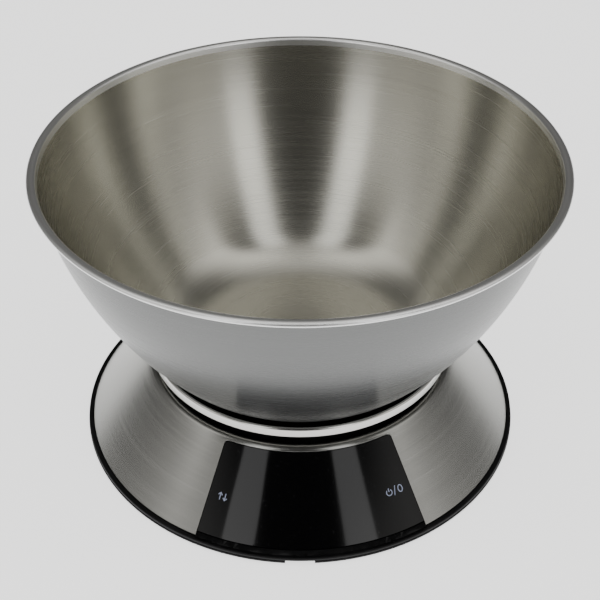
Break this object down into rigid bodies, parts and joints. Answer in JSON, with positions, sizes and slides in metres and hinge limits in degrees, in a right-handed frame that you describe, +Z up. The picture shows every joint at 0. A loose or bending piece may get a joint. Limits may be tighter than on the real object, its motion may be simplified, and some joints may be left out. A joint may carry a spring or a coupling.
{
  "type": "kitchen scale",
  "caption": "Kitchen scale with a lift-off steel mixing bowl on a weighing tray, a cone-shaped brushed steel base, and a black display panel let into its front.",
  "frame": {"origin": "centre of the footprint, on the surface the scale stands on", "axes": "+Z up, the display panel faces -Y, +X to the right of someone reading the display"},
  "size_m": [0.216, 0.216, 0.1349],
  "materials": {
    "bowl_steel": "brushed round the bowl, polished rim",
    "tray_steel": "polished stainless sheet",
    "cone_steel": "brushed round the cone",
    "panel_acrylic": "high gloss black",
    "casing_abs": "fine moulded texture, black",
    "beam_aluminium": "milled",
    "screw_steel": "zinc plated",
    "foot_rubber": "matt",
    "circuit_board": "solder-masked laminate",
    "lcd_glass": "clear glass over grey segments",
    "silicone": "soft",
    "component_black": "moulded",
    "lead_sleeve": "PVC sleeve",
    "cell_steel": "nickel plated",
    "contact_plating": "plated spring strip"
  },
  "bodies": {
    "base": {"upper_housing": "casing_abs", "base_tray": "casing_abs", "base_skin": "cone_steel", "display_panel": "panel_acrylic", "coin_cell": "cell_steel", "load_cell": "beam_aluminium", "battery_lead": "lead_sleeve", "load_cell_lead": "lead_sleeve", "unit_key_lead": "lead_sleeve", "power_key_lead": "lead_sleeve", "load_cell_lower_screw_1": "screw_steel", "load_cell_lower_screw_2": "screw_steel", "board_screw_left": "screw_steel", "board_screw_right": "screw_steel", "casing_screw_front_left": "screw_steel", "casing_screw_front_right": "screw_steel", "casing_screw_rear_right": "screw_steel", "casing_screw_rear_left": "screw_steel", "strain_gauge_coat": "silicone", "load_cell_lower_spacer": "beam_aluminium", "main_board": "circuit_board", "foot_front_left": "foot_rubber", "foot_front_right": "foot_rubber", "foot_rear_right": "foot_rubber", "foot_rear_left": "foot_rubber", "chip_cover": "component_black", "unit_key_switch": "component_black", "power_key_switch": "component_black", "lcd_frame": "casing_abs", "lcd_module": "lcd_glass", "battery_contact_negative": "contact_plating", "lcd_contact_strip": "silicone", "unit_key_board": "circuit_board", "power_key_board": "circuit_board", "battery_contact_positive": "contact_plating"},
    "platform": {"weighing_tray": "tray_steel", "tray_support": "casing_abs", "load_cell_upper_spacer": "beam_aluminium", "load_cell_upper_screw_1": "screw_steel", "load_cell_upper_screw_2": "screw_steel"},
    "bowl": {"bowl": "bowl_steel"},
    "unit_key": {"unit_key": "casing_abs"},
    "power_key": {"power_key": "casing_abs"},
    "battery_door": {"battery_door": "casing_abs"}
  },
  "joints": [
    {"name": "platform_press", "type": "slide", "parent": "base", "child": "platform", "axis": [0, 0, 1], "range_m": [-0.0003, 0], "stiffness_N_per_m": 90000, "springref_m": 0.00006},
    {"name": "bowl_lift", "type": "slide", "parent": "platform", "child": "bowl", "axis": [0, 0, 1], "range_m": [0, 0.12]},
    {"name": "unit_key_press", "type": "slide", "parent": "base", "child": "unit_key", "axis": [0.3196, 0.667, -0.673], "range_m": [0, 0.0004], "stiffness_N_per_m": 3500},
    {"name": "power_key_press", "type": "slide", "parent": "base", "child": "power_key", "axis": [-0.3091, 0.672, -0.673], "range_m": [0, 0.0004], "stiffness_N_per_m": 3500},
    {"name": "battery_door_hinge", "type": "hinge", "parent": "base", "child": "battery_door", "pos_m": [0, 0.0431, 0.002], "axis": [-1, 0, 0], "range_deg": [0, 90]}
  ]
}
